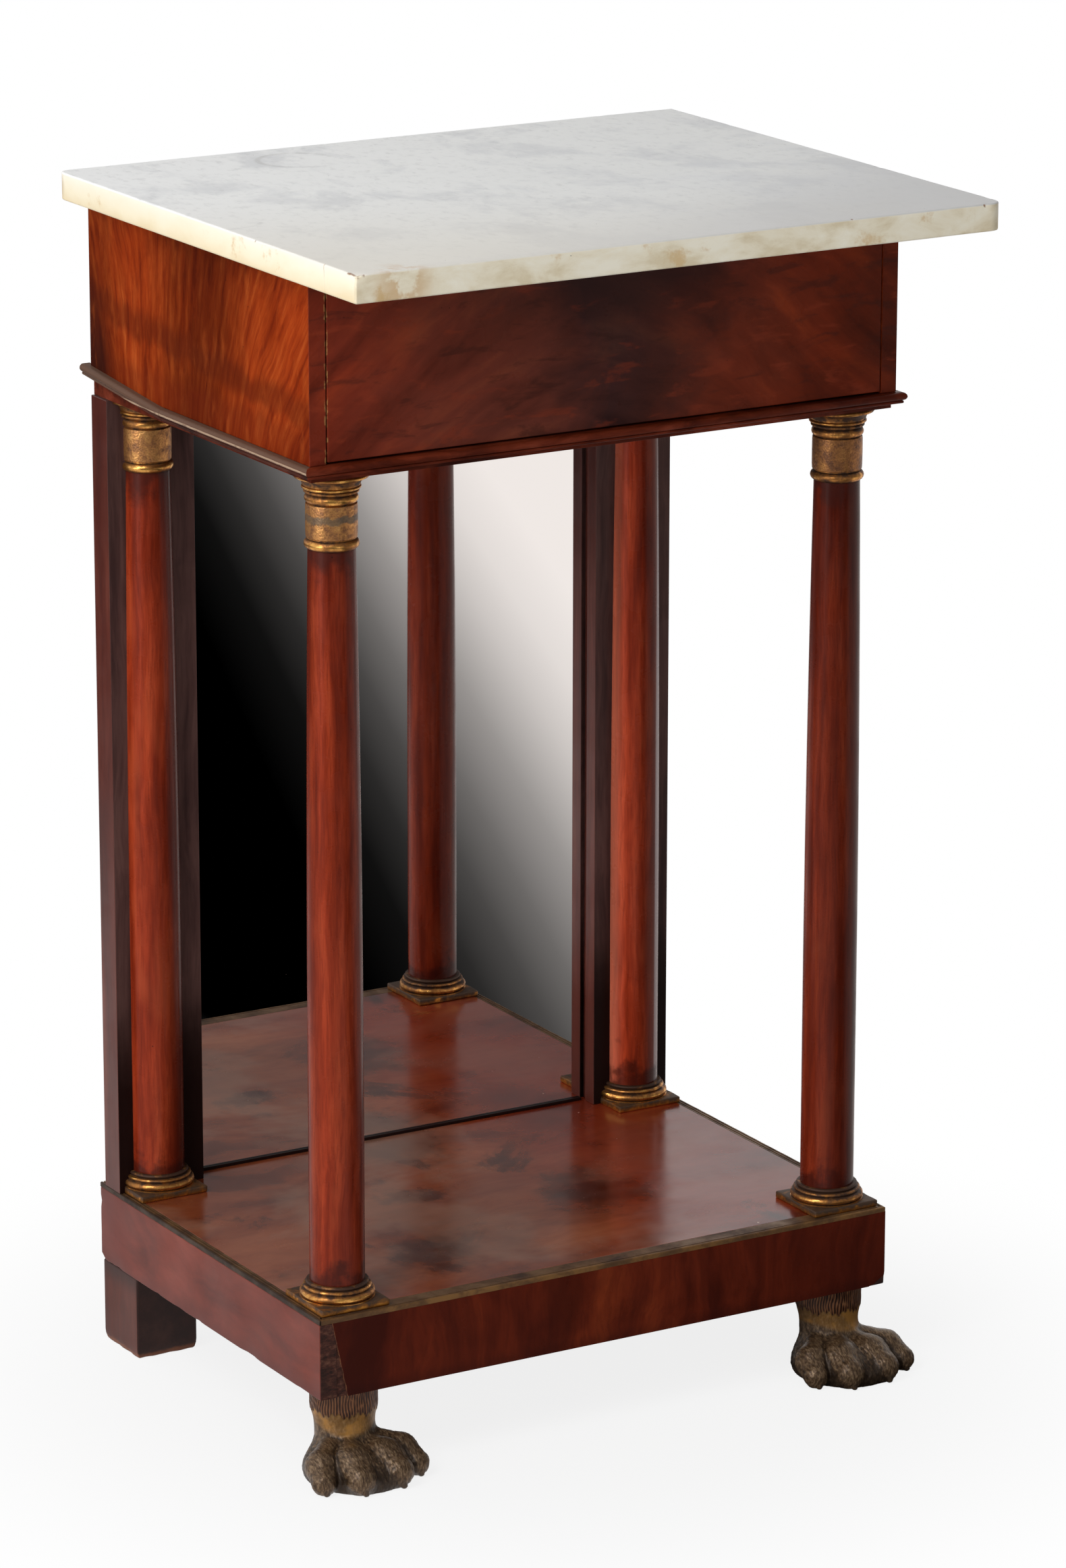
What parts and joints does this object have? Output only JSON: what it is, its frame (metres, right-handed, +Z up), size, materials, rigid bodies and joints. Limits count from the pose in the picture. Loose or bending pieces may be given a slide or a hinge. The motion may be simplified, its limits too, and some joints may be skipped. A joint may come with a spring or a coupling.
{
  "type": "pier table",
  "caption": "Pier table: marble slab over a frieze with a hidden drawer, round columns in front of a mirror back, plinth shelf on paw and block feet.",
  "frame": {"origin": "on the floor, under the middle of the marble slab", "axes": "+Z up, +Y towards the wall the table stands against, +X to the right seen from the front"},
  "size_m": [0.5176, 0.442, 0.8945],
  "materials": {
    "marble": "satin",
    "mahogany_side": "satin",
    "mahogany_flame": "gloss",
    "mahogany_column": "gloss",
    "mahogany_dark": "satin",
    "mahogany_shelf": "satin",
    "pine": "matte",
    "gilt": "satin",
    "brass": "satin",
    "paw_bronze": "satin",
    "mirror_plate": "polished",
    "wire": "matte"
  },
  "bodies": {
    "carcass": {"block_foot_left": "mahogany_dark", "block_foot_right": "mahogany_dark", "brass_edge_front": "brass", "brass_edge_left": "brass", "brass_edge_right": "brass", "capital_front_left": "gilt", "capital_front_right": "gilt", "capital_rear_left": "gilt", "capital_rear_right": "gilt", "column_base_front_left": "gilt", "column_base_front_right": "gilt", "column_base_rear_left": "gilt", "column_base_rear_right": "gilt", "column_plinth_front_left": "gilt", "column_plinth_front_right": "gilt", "column_plinth_rear_left": "gilt", "column_plinth_rear_right": "gilt", "column_shaft_front_left": "mahogany_column", "column_shaft_front_right": "mahogany_column", "column_shaft_rear_left": "mahogany_column", "column_shaft_rear_right": "mahogany_column", "corner_block_front_left": "pine", "corner_block_front_right": "pine", "corner_block_rear_left": "pine", "corner_block_rear_right": "pine", "drawer_stop_left": "pine", "drawer_stop_right": "pine", "frieze_back": "pine", "frieze_moulding_front": "mahogany_flame", "frieze_moulding_left": "mahogany_flame", "frieze_moulding_right": "mahogany_flame", "frieze_side_left": "mahogany_side", "frieze_side_right": "mahogany_side", "kicker_left": "pine", "kicker_right": "pine", "marble_top": "marble", "mirror_back_board": "pine", "mirror_board_pins": "wire", "mirror_foot_slip": "mahogany_dark", "mirror_glass": "mirror_plate", "mirror_head_rail": "mahogany_dark", "paw_foot_left": "paw_bronze", "paw_foot_right": "paw_bronze", "pilaster_left": "mahogany_dark", "pilaster_right": "mahogany_dark", "shelf_back_rail": "pine", "shelf_board": "mahogany_shelf", "shelf_front_rail": "mahogany_flame", "shelf_side_rail_left": "mahogany_shelf", "shelf_side_rail_right": "mahogany_shelf", "soffit_board": "pine", "top_rail": "pine"},
    "drawer": {"drawer_front": "mahogany_flame", "drawer_side_left": "pine", "drawer_side_right": "pine", "drawer_back": "pine", "drawer_bottom": "pine", "drawer_bottom_pins": "wire"}
  },
  "joints": [
    {"name": "drawer_slide", "type": "slide", "parent": "carcass", "child": "drawer", "axis": [0, -1, 0], "range_m": [0, 0.22]}
  ]
}
